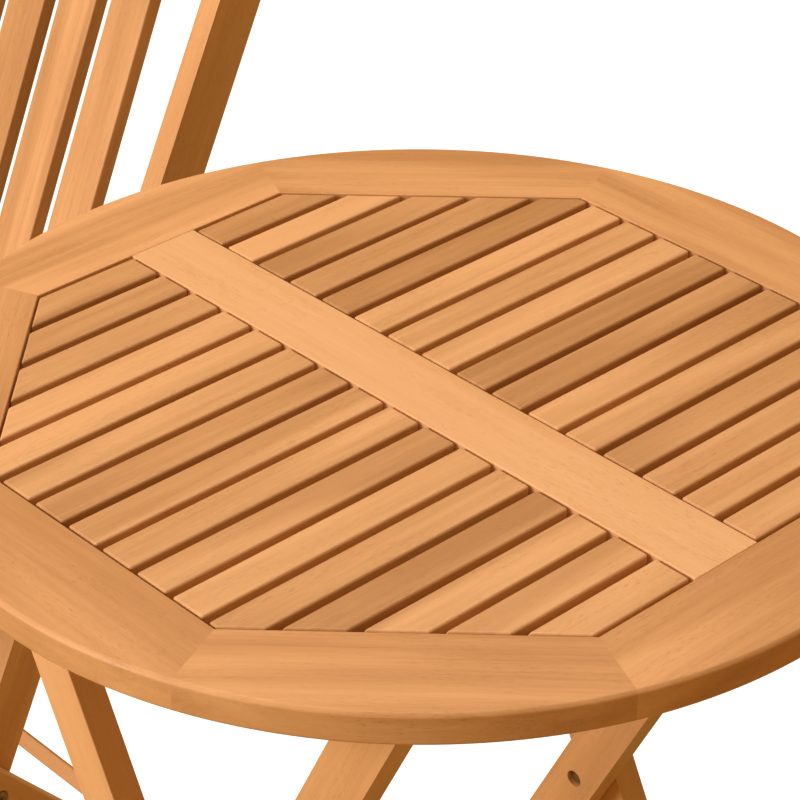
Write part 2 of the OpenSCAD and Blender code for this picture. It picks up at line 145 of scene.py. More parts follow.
class ShaderTree:
    """A small helper that adds and links shader nodes in one material."""

    def __init__(self, name: str) -> None:
        """Start an empty material.

        Args:
            name: The material's name.
        """
        self.material = bpy.data.materials.new(name)
        self.material.use_nodes = True
        self.nodes = self.material.node_tree.nodes
        self.links = self.material.node_tree.links
        self.nodes.clear()
        self.output = self.nodes.new("ShaderNodeOutputMaterial")
        self.shader = self.nodes.new("ShaderNodeBsdfPrincipled")
        self.join(self.shader, "BSDF", self.output, "Surface")

    def join(self, source: bpy.types.Node, out: str, target: bpy.types.Node, into: str | int) -> None:
        """Link an output socket to an input socket."""
        self.links.new(source.outputs[out], target.inputs[into])

    def attribute(self, name: str) -> bpy.types.Node:
        """Return a node that reads a mesh attribute."""
        node = self.nodes.new("ShaderNodeAttribute")
        node.attribute_name = name
        return node

    def stretched(self, source: bpy.types.Node, out: str, scale: Scale) -> bpy.types.Node:
        """Scale a vector, so that a texture read with it is stretched.

        Args:
            source: The node that gives the vector.
            out: The name of its output.
            scale: The scale along the grain, across it and through the board.

        Returns:
            The Mapping node.
        """
        node = self.nodes.new("ShaderNodeMapping")
        node.inputs["Scale"].default_value = scale
        self.join(source, out, node, "Vector")
        return node

    def noise(self, source: bpy.types.Node, out: str, scale: Scale, detail: float, roughness: float,
              distortion: float = 0.0) -> bpy.types.Node:
        """Read a stretched noise texture.

        Args:
            source: The node that gives the vector.
            out: The name of its output.
            scale: The scale along the grain, across it and through the board.
            detail: The number of octaves.
            roughness: How strongly the fine octaves show.
            distortion: How far the pattern is twisted.

        Returns:
            The Noise Texture node.
        """
        vector = self.stretched(source, out, scale)
        node = self.nodes.new("ShaderNodeTexNoise")
        node.inputs["Scale"].default_value = 1.0
        node.inputs["Detail"].default_value = detail
        node.inputs["Roughness"].default_value = roughness
        node.inputs["Distortion"].default_value = distortion
        self.join(vector, "Vector", node, "Vector")
        return node

    def remap(self, source: bpy.types.Node, out: str, low: float, high: float,
              to_low: float, to_high: float) -> bpy.types.Node:
        """Map a range of values to another, clamped.

        Args:
            source: The node that gives the value.
            out: The name of its output.
            low: The value that becomes to_low.
            high: The value that becomes to_high.
            to_low: The result at low.
            to_high: The result at high.

        Returns:
            The Map Range node.
        """
        node = self.nodes.new("ShaderNodeMapRange")
        node.inputs["From Min"].default_value = low
        node.inputs["From Max"].default_value = high
        node.inputs["To Min"].default_value = to_low
        node.inputs["To Max"].default_value = to_high
        self.join(source, out, node, "Value")
        return node

    def math(self, operation: str, first: bpy.types.Node, out: str,
             second: bpy.types.Node | float, second_out: str = "Result") -> bpy.types.Node:
        """Combine a value with another value or a number.

        Args:
            operation: The Math node's operation.
            first: The node that gives the first value.
            out: The name of its output.
            second: The other node, or a number.
            second_out: The name of the other node's output.

        Returns:
            The Math node.
        """
        node = self.nodes.new("ShaderNodeMath")
        node.operation = operation
        self.join(first, out, node, 0)
        if isinstance(second, (int, float)):
            node.inputs[1].default_value = second
        else:
            self.join(second, second_out, node, 1)
        return node

    def ramp(self, source: bpy.types.Node, out: str,
             stops: list[tuple[float, Colour]]) -> bpy.types.Node:
        """Colour a value with a ramp.

        Args:
            source: The node that gives the value.
            out: The name of its output.
            stops: The ramp's places, from 0 to 1, and their colours.

        Returns:
            The Color Ramp node.
        """
        node = self.nodes.new("ShaderNodeValToRGB")
        elements = node.color_ramp.elements
        while len(elements) < len(stops):
            elements.new(0.5)
        for element, (place, colour) in zip(elements, stops):
            element.position = place
            element.color = (*colour, 1.0)
        self.join(source, out, node, "Fac")
        return node

    def darkened(self, colour: bpy.types.Node, out: str, amount: bpy.types.Node, amount_out: str,
                 tint: Colour) -> bpy.types.Node:
        """Multiply a colour by a tint.

        Args:
            colour: The node that gives the colour.
            out: The name of its output.
            amount: The node that gives how much, from 0 to 1.
            amount_out: The name of its output.
            tint: The tint at full amount.

        Returns:
            The Mix node.
        """
        node = self.nodes.new("ShaderNodeMix")
        node.data_type = "RGBA"
        node.blend_type = "MULTIPLY"
        self.links.new(amount.outputs[amount_out], node.inputs[0])
        self.links.new(colour.outputs[out], node.inputs[6])
        node.inputs[7].default_value = (*tint, 1.0)
        return node

    def bump(self, height: bpy.types.Node, out: str, depth: float,
             under: bpy.types.Node | None = None) -> bpy.types.Node:
        """Add a relief.

        Args:
            height: The node that gives the height, from 0 to 1.
            out: The name of its output.
            depth: The relief's depth, in metres.
            under: The bump that this one lies on.

        Returns:
            The Bump node.
        """
        node = self.nodes.new("ShaderNodeBump")
        node.inputs["Strength"].default_value = 1.0
        node.inputs["Distance"].default_value = depth
        self.join(height, out, node, "Height")
        if under is not None:
            self.join(under, "Normal", node, "Normal")
        return node


# ------------------------------------------------------------------ finishes


@dataclass(frozen=True)
class OiledWood:
    """Light golden hardwood under a satin oil, with a grain that follows each board."""

    name: str
    pale: Colour
    mid: Colour
    deep: Colour
    figure: Figure = Figure.PLAIN
    roughness: float = 0.5
    ring_size: float = 0.012
    band_scale: Scale = (2.0, 24.0, 12.0)
    cloud_scale: Scale = (6.0, 30.0, 30.0)
    streak_scale: Scale = (6.0, 190.0, 190.0)
    fibre_scale: Scale = (45.0, 1300.0, 1300.0)
    pore_scale: Scale = (170.0, 2300.0, 2300.0)
    patch_scale: Scale = (14.0, 70.0, 70.0)
    tone_weight: float = 0.60
    band_weight: float = 0.42
    cloud_weight: float = 0.70
    streak_weight: float = 0.72
    fibre_weight: float = 0.40
    pore_tint: Colour = (0.66, 0.50, 0.34)
    fibre_relief: float = 0.06 * MM
    pore_relief: float = -0.08 * MM
    cloud_relief: float = 0.5 * MM

    def build(self) -> bpy.types.Material:
        """Return the material, which reads the boards' grain and tone attributes."""
        tree = ShaderTree(self.name)
        grain = tree.attribute(GRAIN)
        tone = tree.attribute(TONE)
        cloud = tree.noise(grain, "Vector", self.cloud_scale, 2.0, 0.5)
        streak = tree.noise(grain, "Vector", self.streak_scale, 4.0, 0.62, 0.3)
        fibre = tree.noise(grain, "Vector", self.fibre_scale, 2.0, 0.6)
        mix = self._weighted(tree, [(tone, "Fac", self.tone_weight),
                                    (self._bands(tree, grain), "Result", self.band_weight),
                                    (cloud, "Fac", self.cloud_weight), (streak, "Fac", self.streak_weight),
                                    (fibre, "Fac", self.fibre_weight),
                                    (self._rings(tree, grain), "Fac", self.figure.value)])
        colour = tree.ramp(mix, "Value", [(0.0, self.deep), (0.5, self.mid), (1.0, self.pale)])
        pore = tree.noise(grain, "Vector", self.pore_scale, 1.0, 0.5)
        pores = self._pores(tree, grain, pore)
        dark = tree.darkened(colour, "Color", pores, "Value", self.pore_tint)
        tree.links.new(dark.outputs[2], tree.shader.inputs["Base Color"])
        rough = tree.remap(streak, "Fac", 0.3, 0.7, self.roughness - 0.06, self.roughness + 0.08)
        tree.join(rough, "Result", tree.shader, "Roughness")
        relief = tree.bump(fibre, "Fac", self.fibre_relief)
        relief = tree.bump(pores, "Value", self.pore_relief, relief)
        relief = tree.bump(cloud, "Fac", self.cloud_relief, relief)
        tree.join(relief, "Normal", tree.shader, "Normal")
        tree.shader.inputs["Specular IOR Level"].default_value = 0.38
        tree.shader.inputs["Coat Weight"].default_value = 0.05
        tree.shader.inputs["Coat Roughness"].default_value = 0.4
        return tree.material

    def _bands(self, tree: ShaderTree, grain: bpy.types.Node) -> bpy.types.Node:
        """Return the broad bands of heartwood and sapwood, with soft borders along the grain."""
        wave = tree.noise(grain, "Vector", self.band_scale, 1.5, 0.45, 0.2)
        return tree.remap(wave, "Fac", 0.44, 0.56, 0.0, 1.0)

    def _pores(self, tree: ShaderTree, grain: bpy.types.Node, pore: bpy.types.Node) -> bpy.types.Node:
        """Return the open pores: short dark dashes that gather in loose patches.

        Args:
            tree: The material's tree.
            grain: The node that reads the grain attribute.
            pore: The finest noise along the grain.

        Returns:
            A Math node: 1 in a pore, 0 elsewhere.
        """
        dash = tree.remap(pore, "Fac", 0.60, 0.72, 0.0, 1.0)
        patch = tree.noise(grain, "Vector", self.patch_scale, 1.0, 0.5)
        share = tree.remap(patch, "Fac", 0.40, 0.66, 0.10, 0.62)
        return tree.math("MULTIPLY", dash, "Result", share)

    def _rings(self, tree: ShaderTree, grain: bpy.types.Node) -> bpy.types.Node:
        """Return growth rings round an axis along the board's grain.

        Args:
            tree: The material's tree.
            grain: The node that reads the grain attribute.

        Returns:
            The Wave Texture node.
        """
        node = tree.nodes.new("ShaderNodeTexWave")
        node.wave_type = "RINGS"
        node.rings_direction = "X"
        node.wave_profile = "SIN"
        node.inputs["Scale"].default_value = 0.05 / self.ring_size
        node.inputs["Distortion"].default_value = 3.2
        node.inputs["Detail"].default_value = 2.0
        node.inputs["Detail Scale"].default_value = 0.9
        tree.join(tree.stretched(grain, "Vector", (0.9, 6.3, 6.3)), "Vector", node, "Vector")
        return node

    def _weighted(self, tree: ShaderTree, parts: list[tuple[bpy.types.Node, str, float]]) -> bpy.types.Node:
        """Return one half plus the weighted sum of how far several values are from one half.

        Args:
            tree: The material's tree.
            parts: The nodes, their outputs' names and their weights.

        Returns:
            The last Math node.
        """
        total = None
        for node, out, weight in parts:
            share = tree.math("MULTIPLY", node, out, weight)
            total = share if total is None else tree.math("ADD", total, "Value", share, "Value")
        return tree.math("ADD", total, "Value", 0.5 - 0.5 * sum(weight for _, _, weight in parts))


@dataclass(frozen=True)
class BronzedSteel:
    """Bronzed steel of bolts, pins and axles, dulled and finely brushed; its dark brown is partly the bronzed
    finish and partly painted shade of the bolt recesses.
    """

    name: str
    # Painted shade: this dark brown is partly the bronzed finish and partly stands in for the shade that
    # falls in the bolt recesses.
    colour: Colour = (0.36, 0.25, 0.145)
    tarnish: Colour = (0.50, 0.40, 0.30)
    roughness: float = 0.38
    cloud_scale: Scale = (160.0, 160.0, 160.0)
    scratch_scale: Scale = (900.0, 5200.0, 900.0)
    scratch_shade: float = 0.86
    scratch_relief: float = 0.03 * MM

    def build(self) -> bpy.types.Material:
        """Return the material, which reads Object coordinates."""
        tree = ShaderTree(self.name)
        place = tree.nodes.new("ShaderNodeTexCoord")
        cloud = tree.noise(place, "Object", self.cloud_scale, 3.0, 0.6)
        scratch = tree.noise(place, "Object", self.scratch_scale, 2.0, 0.5)
        amount = tree.remap(cloud, "Fac", 0.42, 0.68, 0.0, 0.85)
        base = tree.ramp(scratch, "Fac", [(0.3, tuple(self.scratch_shade * c for c in self.colour)),
                                           (0.7, self.colour)])
        dull = tree.darkened(base, "Color", amount, "Result", self.tarnish)
        tree.links.new(dull.outputs[2], tree.shader.inputs["Base Color"])
        rough = tree.remap(cloud, "Fac", 0.35, 0.7, self.roughness - 0.08, self.roughness + 0.16)
        tree.join(rough, "Result", tree.shader, "Roughness")
        relief = tree.bump(scratch, "Fac", self.scratch_relief)
        tree.join(relief, "Normal", tree.shader, "Normal")
        tree.shader.inputs["Metallic"].default_value = 1.0
        return tree.material


@dataclass
class Palette:
    """The finishes of the whole set, built once."""

    rim: bpy.types.Material = field(init=False)
    rail: bpy.types.Material = field(init=False)
    slat: bpy.types.Material = field(init=False)
    frame: bpy.types.Material = field(init=False)
    steel: bpy.types.Material = field(init=False)

    def __post_init__(self) -> None:
        """Build the five finishes."""
        self.rim = OiledWood("oiled_wood_rim", (0.78, 0.405, 0.180), (0.645, 0.315, 0.127),
                             (0.50, 0.225, 0.078), Figure.LIVELY, 0.5, 0.016).build()
        self.rail = OiledWood("oiled_wood_rail", (0.82, 0.455, 0.225), (0.745, 0.395, 0.186),
                              (0.66, 0.325, 0.130)).build()
        self.slat = OiledWood("oiled_wood_slats", (0.745, 0.39, 0.176), (0.59, 0.292, 0.119),
                              (0.455, 0.208, 0.073), Figure.LIVELY, 0.48, 0.010).build()
        self.frame = OiledWood("oiled_wood_frame", (0.79, 0.41, 0.180), (0.68, 0.34, 0.140),
                               (0.55, 0.255, 0.092), Figure.PLAIN, 0.52, 0.012).build()
        # The steel's dark brown is partly its bronzed finish and partly painted shade of the bolt recesses.
        self.steel = BronzedSteel("bronzed_steel").build()


# --------------------------------------------------------------- board work


@dataclass
class BoardWork:
    """Turns merged meshes into boards with eased edges, a grain frame and a tone each."""

    seed: int = 7
    ease: float = 1.4 * MM
    segments: int = 2
    sharp_turn: float = math.radians(24)
    flat_turn: float = math.radians(0.6)
    along_shift: float = 4.0
    across_shift: float = 0.05
    pith_near: float = 0.02
    pith_far: float = 0.09

    def __post_init__(self) -> None:
        """Start the random draws."""
        self.draws = random.Random(self.seed)

    def copy_of(self, node: bpy.types.Object) -> bmesh.types.BMesh:
        """Return a CAD node's mesh, merged and with its flat faces joined.

        Args:
            node: The CAD node's object.

        Returns:
            A new bmesh that the caller frees.
        """
        mesh = bmesh.new()
        mesh.from_mesh(node.data)
        bmesh.ops.remove_doubles(mesh, verts=mesh.verts, dist=MERGE)
        self.join_flats(mesh)
        return mesh

    def join_flats(self, mesh: bmesh.types.BMesh) -> None:
        """Dissolve the edges inside flat faces."""
        bmesh.ops.dissolve_limit(mesh, angle_limit=self.flat_turn, verts=mesh.verts, edges=mesh.edges)

    def ease_edges(self, mesh: bmesh.types.BMesh, ease: float,
                   keep: Callable[[bmesh.types.BMFace], bool] | None = None) -> None:
        """Round every sharp edge a little.

        Args:
            mesh: The mesh to change.
            ease: The width of the rounding, in metres.
            keep: Tells the faces whose edges stay sharp, such as those of a glued joint.
        """
        sharp = [e for e in mesh.edges if e.is_manifold and e.calc_face_angle(0.0) > self.sharp_turn]
        if keep is not None:
            kept = {e for f in mesh.faces if keep(f) for e in f.edges}
            sharp = [e for e in sharp if e not in kept]
            for edge in kept:
                edge.smooth = False
        bmesh.ops.bevel(mesh, geom=sharp, offset=ease, offset_type="OFFSET", segments=self.segments,
                        profile=0.5, affect="EDGES", clamp_overlap=True)
        bmesh.ops.remove_doubles(mesh, verts=mesh.verts, dist=0.004 * MM)

    def boards(self, mesh: bmesh.types.BMesh) -> list[list[bmesh.types.BMVert]]:
        """Return the vertices of each separate board, in order of their first vertex.

        Args:
            mesh: The boards.

        Returns:
            A list of vertices for each board.
        """
        mesh.verts.index_update()
        seen: set[int] = set()
        groups = []
        for start in mesh.verts:
            if start.index in seen:
                continue
            group, queue = [], [start]
            seen.add(start.index)
            while queue:
                vert = queue.pop()
                group.append(vert)
                for edge in vert.link_edges:
                    other = edge.other_vert(vert)
                    if other.index not in seen:
                        seen.add(other.index)
                        queue.append(other)
            groups.append(group)
        return groups

    def grain_frame(self, group: list[bmesh.types.BMVert]) -> tuple[Vector, Vector, Vector]:
        """Return the board's directions along the grain, across it and through the board.

        Args:
            group: The board's vertices.

        Returns:
            The three directions, as a right-handed frame.
        """
        edges = {e for v in group for e in v.link_edges}
        longest = max(edges, key=lambda e: (round(e.calc_length(), 5), e.index))
        along = (longest.verts[1].co - longest.verts[0].co).normalized()
        faces = {f for v in group for f in v.link_faces}
        sides = [f for f in faces if abs(f.normal.dot(along)) < 0.2]
        broad = max(sides, key=lambda f: (round(f.calc_area(), 7), f.index))
        through = (broad.normal - along * broad.normal.dot(along)).normalized()
        return along, through.cross(along), through

    def dress(self, mesh: bmesh.types.BMesh) -> None:
        """Write the grain place and the tone of every board into the mesh.

        Args:
            mesh: The boards; it gains the two vertex layers.
        """
        mesh.edges.index_update()
        mesh.faces.index_update()
        mesh.normal_update()
        grain = mesh.verts.layers.float_vector.new(GRAIN)
        tone = mesh.verts.layers.float.new(TONE)
        for group in self.boards(mesh):
            along, across, through = self.grain_frame(group)
            centre = sum((v.co for v in group), Vector()) / len(group)
            shift = Vector((self.draws.uniform(-self.along_shift, self.along_shift),
                            self.draws.uniform(-self.across_shift, self.across_shift),
                            self.draws.uniform(self.pith_near, self.pith_far)))
            shade = self.draws.random()
            for vert in group:
                away = vert.co - centre
                vert[grain] = Vector((away.dot(along), away.dot(across), away.dot(through))) + shift
                vert[tone] = shade

    def finish(self, mesh: bmesh.types.BMesh, name: str, finish: bpy.types.Material,
               ease: float | None = None, keep: Callable[[bmesh.types.BMFace], bool] | None = None,
               ) -> bpy.types.Object:
        """Ease, dress and hand over a mesh as an object at the origin.

        Args:
            mesh: The boards; it is freed.
            name: The new piece's name.
            finish: The piece's material.
            ease: The width of the edge rounding, in metres.
            keep: Tells the faces whose edges stay sharp.

        Returns:
            The new object, linked to the scene.
        """
        self.dress(mesh)
        self.ease_edges(mesh, self.ease if ease is None else ease, keep)
        bmesh.ops.recalc_face_normals(mesh, faces=mesh.faces)
        data = frozen(mesh, name)
        data.materials.append(finish)
        return smooth(placed(name, data))


def smooth(piece: bpy.types.Object) -> bpy.types.Object:
    """Shade a piece smoothly with its broad faces kept flat.

    Args:
        piece: The piece to shade.

    Returns:
        The same piece.
    """
    for polygon in piece.data.polygons:
        polygon.use_smooth = True
    weigh = piece.modifiers.new("flat faces", "WEIGHTED_NORMAL")
    weigh.keep_sharp = True
    weigh.weight = 80
    return piece


# ------------------------------------------------------------ Geometry Nodes


class GrowTree:
    """A Geometry Nodes tree with named inputs, built node by node."""

    def __init__(self, name: str) -> None:
        """Start an empty tree with a geometry input and output.

        Args:
            name: The tree's name.
        """
        self.tree = bpy.data.node_groups.new(name, "GeometryNodeTree")
        face = self.tree.interface
        face.new_socket("Geometry", in_out="INPUT", socket_type="NodeSocketGeometry")
        face.new_socket("Geometry", in_out="OUTPUT", socket_type="NodeSocketGeometry")
        self.entry = self.tree.nodes.new("NodeGroupInput")
        self.exit = self.tree.nodes.new("NodeGroupOutput")

    def size(self, name: str, kind: str = "NodeSocketFloat") -> None:
        """Add a named input."""
        self.tree.interface.new_socket(name, in_out="INPUT", socket_type=kind)

    def node(self, kind: str, **settings: object) -> bpy.types.Node:
        """Add a node and set its properties.

        Args:
            kind: The node's type.
            settings: The properties to set.

        Returns:
            The new node.
        """
        node = self.tree.nodes.new(kind)
        for key, value in settings.items():
            setattr(node, key, value)
        return node

    def fed(self, kind: str, inputs: dict[str | int, bpy.types.NodeSocket],
            **settings: object) -> bpy.types.Node:
        """Add a node, set its properties and link its inputs.

        Args:
            kind: The node's type.
            inputs: The sockets that feed it, by the name or number of its input.
            settings: The properties to set.

        Returns:
            The new node.
        """
        node = self.node(kind, **settings)
        for name, socket in inputs.items():
            self.link(socket, node.inputs[name])
        return node

    def link(self, source: bpy.types.NodeSocket, target: bpy.types.NodeSocket) -> None:
        """Link two sockets."""
        self.tree.links.new(source, target)

    def maths(self, operation: str, first: bpy.types.NodeSocket | float,
              second: bpy.types.NodeSocket | float = 0.0) -> bpy.types.NodeSocket:
        """Return the result of a Math node on two sockets or numbers."""
        return self.filled(self.node("ShaderNodeMath", operation=operation), (first, second))

    def vector(self, x: object, y: object, z: object) -> bpy.types.NodeSocket:
        """Return a vector of three numbers or sockets."""
        return self.filled(self.node("ShaderNodeCombineXYZ"), (x, y, z))

    def filled(self, node: bpy.types.Node, values: tuple[object, ...]) -> bpy.types.NodeSocket:
        """Fill a node's inputs in order.

        Args:
            node: The node.
            values: A number or a socket for each input.

        Returns:
            The node's first output.
        """
        for socket, value in zip(node.inputs, values):
            if isinstance(value, (int, float)):
                socket.default_value = value
            else:
                self.link(value, socket)
        return node.outputs[0]

    def close(self, geometry: bpy.types.NodeSocket,
              finish: bpy.types.Material) -> bpy.types.GeometryNodeTree:
        """End the tree in Realize Instances and Set Material.

        Args:
            geometry: The tree's geometry.
            finish: The material of all of it.

        Returns:
            The finished tree.
        """
        real = self.fed("GeometryNodeRealizeInstances", {"Geometry": geometry})
        paint = self.fed("GeometryNodeSetMaterial", {"Geometry": real.outputs["Geometry"]})
        paint.inputs["Material"].default_value = finish
        self.link(paint.outputs["Geometry"], self.exit.inputs["Geometry"])
        return self.tree


def grow(name: str, tree: bpy.types.GeometryNodeTree, sizes: dict[str, object],
         start: bpy.types.Mesh | None = None) -> bpy.types.Mesh:
    """Run a Geometry Nodes tree and return its result as a plain mesh.

    Args:
        name: The new mesh's name.
        tree: The tree to run.
        sizes: The values of its named inputs.
        start: The mesh that enters the tree; an empty one if left out.

    Returns:
        The finished mesh, free of modifiers.
    """
    carrier = placed(name, start or bpy.data.meshes.new(name))
    modifier = carrier.modifiers.new(name, "NODES")
    modifier.node_group = tree
    for item in tree.interface.items_tree:
        if getattr(item, "in_out", "") == "INPUT" and item.name in sizes:
            modifier[item.identifier] = sizes[item.name]
    graph = bpy.context.evaluated_depsgraph_get()
    result = bpy.data.meshes.new_from_object(carrier.evaluated_get(graph))
    bpy.data.objects.remove(carrier)
    result.name = name
    return result


@dataclass
class SlatLayer:
    """Lays slats side by side with a Geometry Nodes tree."""

    finish: bpy.types.Material

    def row(self) -> bpy.types.GeometryNodeTree:
        """Return a tree that makes a row of equal slats along one direction.

        The slats start round the row's first place and step by a vector; each
        is a box of the given size, turned by the given rotation.
        """
        grower = GrowTree("slat row")
        grower.size("Count", "NodeSocketInt")
        for name in ("First", "Step", "Slat Size", "Turn"):
            grower.size(name, "NodeSocketVector")
        inputs = grower.entry.outputs
        line = grower.fed("GeometryNodeMeshLine", {
            "Count": inputs["Count"], "Start Location": inputs["First"],
            "Offset": inputs["Step"]}, mode="OFFSET")
        box = grower.fed("GeometryNodeMeshCube", {"Size": inputs["Slat Size"]})
        turn = grower.fed("FunctionNodeEulerToRotation", {0: inputs["Turn"]})
        spread = grower.fed("GeometryNodeInstanceOnPoints", {
            "Points": line.outputs["Mesh"], "Instance": box.outputs["Mesh"], "Rotation": turn.outputs[0]})
        return grower.close(spread.outputs["Instances"], self.finish)

    def octagon_bank(self) -> bpy.types.GeometryNodeTree:
        """Return a tree that makes one bank of the table's slats.

        Boxes run along X from the rail to beyond the octagon, step along Y and
        are cut to the octagon by an eight-sided prism.
        """
        grower = GrowTree("octagon bank")
        grower.size("Count", "NodeSocketInt")
        for name in ("Pitch", "Slat Width", "Thickness", "Top", "Inner Edge", "Corner Radius", "Side"):
            grower.size(name)
        inputs = grower.entry.outputs
        steps = grower.maths("SUBTRACT", inputs["Count"], 1.0)
        first = grower.maths("MULTIPLY", grower.maths("MULTIPLY", steps, inputs["Pitch"]), -0.5)
        span = grower.maths("SUBTRACT", inputs["Corner Radius"], inputs["Inner Edge"])
        middle = grower.maths("ADD", inputs["Inner Edge"], grower.maths("MULTIPLY", span, 0.5))
        height = grower.maths("SUBTRACT", inputs["Top"], grower.maths("MULTIPLY", inputs["Thickness"], 0.5))
        start = grower.vector(grower.maths("MULTIPLY", middle, inputs["Side"]), first, height)
        line = grower.fed("GeometryNodeMeshLine", {
            "Count": inputs["Count"], "Start Location": start,
            "Offset": grower.vector(0.0, inputs["Pitch"], 0.0)}, mode="OFFSET")
        box = grower.fed("GeometryNodeMeshCube", {
            "Size": grower.vector(span, inputs["Slat Width"], inputs["Thickness"])})
        spread = grower.fed("GeometryNodeInstanceOnPoints", {
            "Points": line.outputs["Mesh"], "Instance": box.outputs["Mesh"]})
        real = grower.fed("GeometryNodeRealizeInstances", {"Geometry": spread.outputs["Instances"]})
        prism = grower.fed("GeometryNodeMeshCylinder", {
            "Radius": inputs["Corner Radius"], "Depth": grower.maths("MULTIPLY", inputs["Thickness"], 2.0)})
        prism.inputs["Vertices"].default_value = OCTAGON
        place = grower.fed("GeometryNodeTransform", {
            "Geometry": prism.outputs["Mesh"], "Translation": grower.vector(0.0, 0.0, height),
            "Rotation": grower.vector(0.0, 0.0, HALF_CORNER)})
        cut = grower.node("GeometryNodeMeshBoolean", operation="INTERSECT", solver="EXACT")
        grower.link(real.outputs["Geometry"], cut.inputs["Mesh 2"])
        grower.link(place.outputs["Geometry"], cut.inputs["Mesh 2"])
        return grower.close(cut.outputs["Mesh"], self.finish)


@dataclass
class ScrewSetter:
    """Sets countersunk cross-head screws on marked places with Geometry Nodes."""

    finish: bpy.types.Material
    head_radius: float = 3.6 * MM
    head_depth: float = 1.6 * MM
    proud: float = 0.15 * MM
    edge_width: float = 0.3 * MM
    edge_drop: float = 0.25 * MM
    recess_radius: float = 2.1 * MM
    recess_half: float = 0.42 * MM
    recess_depth: float = 0.9 * MM
    recess_taper: float = 0.8
    rim_sides: int = 20
    seed: int = 11
    places: dict[str, list[Place]] = field(default_factory=dict)

    def mark(self, body: str, place: Vector, facing: Vector) -> None:
        """Note a screw on a body.

        Args:
            body: The body that the screw belongs to.
            place: The middle of the head, on the wood's surface.
            facing: The direction out of the wood.
        """
        out = facing.normalized()
        self.places.setdefault(body, []).append((place + out * self.proud, out))

    def head(self) -> bpy.types.Mesh:
        """Return one screw head, face up at the origin, with a cross recess."""
        mesh = bmesh.new()
        arm, half = self.recess_radius, self.recess_half
        cross = []
        for quarter in range(4):
            turn = Matrix.Rotation(quarter * math.pi / 2, 3, "Z")
            for x, y in ((arm, -half), (arm, half), (half, half)):
                cross.append(turn @ Vector((x, y, 0)))
        turns = [2 * math.pi * k / self.rim_sides for k in range(self.rim_sides)]
        ring = [Vector((math.cos(turn), math.sin(turn), 0)) for turn in turns]
        down = Vector((0, 0, -1))
        top = [mesh.verts.new(p * (self.head_radius - self.edge_width)) for p in ring]
        edge = [mesh.verts.new(p * self.head_radius + down * self.edge_drop) for p in ring]
        foot = [mesh.verts.new(p * self.recess_radius + down * self.head_depth) for p in ring]
        mouth = [mesh.verts.new(p) for p in cross]
        floor = [mesh.verts.new(p * self.recess_taper + down * self.recess_depth) for p in cross]
        for near, far in ((top, edge), (edge, foot), (floor, mouth)):
            count = len(near)
            for k in range(count):
                mesh.faces.new((near[k], far[k], far[(k + 1) % count], near[(k + 1) % count]))
        mesh.faces.new(reversed(foot))
        mesh.faces.new(floor)
        rims = [mesh.edges.get((loop[k - 1], loop[k])) for loop in (top, mouth) for k in range(len(loop))]
        bmesh.ops.triangle_fill(mesh, use_beauty=True, edges=rims)
        bmesh.ops.recalc_face_normals(mesh, faces=mesh.faces)
        return frozen(mesh, "screw_head")

    def tree(self, head: bpy.types.Object) -> bpy.types.GeometryNodeTree:
        """Return a tree that puts a head on every point, turned to its facing.

        Args:
            head: The object of one screw head.

        Returns:
            The tree.
        """
        grower = GrowTree("screws")
        grower.size("Head Scale")
        grower.size("Seed", "NodeSocketInt")
        inputs = grower.entry.outputs
        source = grower.node("GeometryNodeObjectInfo")
        source.inputs["Object"].default_value = head
        facing = grower.node("GeometryNodeInputNamedAttribute", data_type="FLOAT_VECTOR")
        facing.inputs["Name"].default_value = "facing"
        aim = grower.fed("FunctionNodeAlignRotationToVector",
                         {"Vector": facing.outputs["Attribute"]}, axis="Z")
        twist = grower.fed("FunctionNodeRandomValue", {"Seed": inputs["Seed"]}, data_type="FLOAT")
        twist.inputs[3].default_value = math.pi / 2
        turned = grower.fed("FunctionNodeEulerToRotation", {0: grower.vector(0.0, 0.0, twist.outputs[1])})
        spin = grower.fed("FunctionNodeRotateRotation", {
            "Rotation": aim.outputs["Rotation"], "Rotate By": turned.outputs[0]}, rotation_space="LOCAL")
        spread = grower.fed("GeometryNodeInstanceOnPoints", {
            "Points": inputs["Geometry"], "Instance": source.outputs["Geometry"],
            "Rotation": spin.outputs["Rotation"], "Scale": inputs["Head Scale"]})
        return grower.close(spread.outputs["Instances"], self.finish)

    def build(self) -> None:
        """Make one mesh of screws for each body, and let it ride there."""
        head = placed("screw_head", self.head())
        tree = self.tree(head)
        for body, places in self.places.items():
            points = bpy.data.meshes.new("screw places")
            points.from_pydata([place for place, _ in places], [], [])
            layer = points.attributes.new("facing", "FLOAT_VECTOR", "POINT")
            for item, (_, facing) in zip(layer.data, places):
                item.vector = facing
            mesh = grow(f"{body}_screws", tree, {"Head Scale": 1.0, "Seed": self.seed}, points)
            piece = placed(f"{body}_screws", mesh)
            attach(piece, body)
            LOG.info("%s: %d screws", body, len(places))
        bpy.data.objects.remove(head)


# ------------------------------------------------------------------ workshop


class Slot(Enum):
    """The record's material slots."""

    FRAME = "oiled_wood_frame"
    SLATS = "oiled_wood_slats"
    STEEL = "bronzed_steel"


@dataclass
class BoardRow:
    """Equal boards side by side, as measured on a CAD node."""

    count: int
    first: Vector
    step: Vector
    size: Vector
    turn: Vector

    def screw_places(self, facing: Vector, from_end: float, columns: list[float]) -> list[Place]:
        """Return places for screws near both ends of every board.

        Args:
            facing: Roughly the direction that the screws face.
            from_end: The screws' distance from the boards' ends, in metres.
            columns: Their places across the boards, in metres.

        Returns:
            The places on the boards' faces, each with the exact direction out.
        """
        along, across, through = Euler(self.turn).to_matrix().transposed()
        out = through if through.dot(facing) > 0 else -through
        reach = self.size.x / 2 - from_end
        return [(self.first + self.step * number + along * end * reach + across * column
                 + out * self.size.z / 2, out)
                for number in range(self.count) for end in (-1, 1) for column in columns]


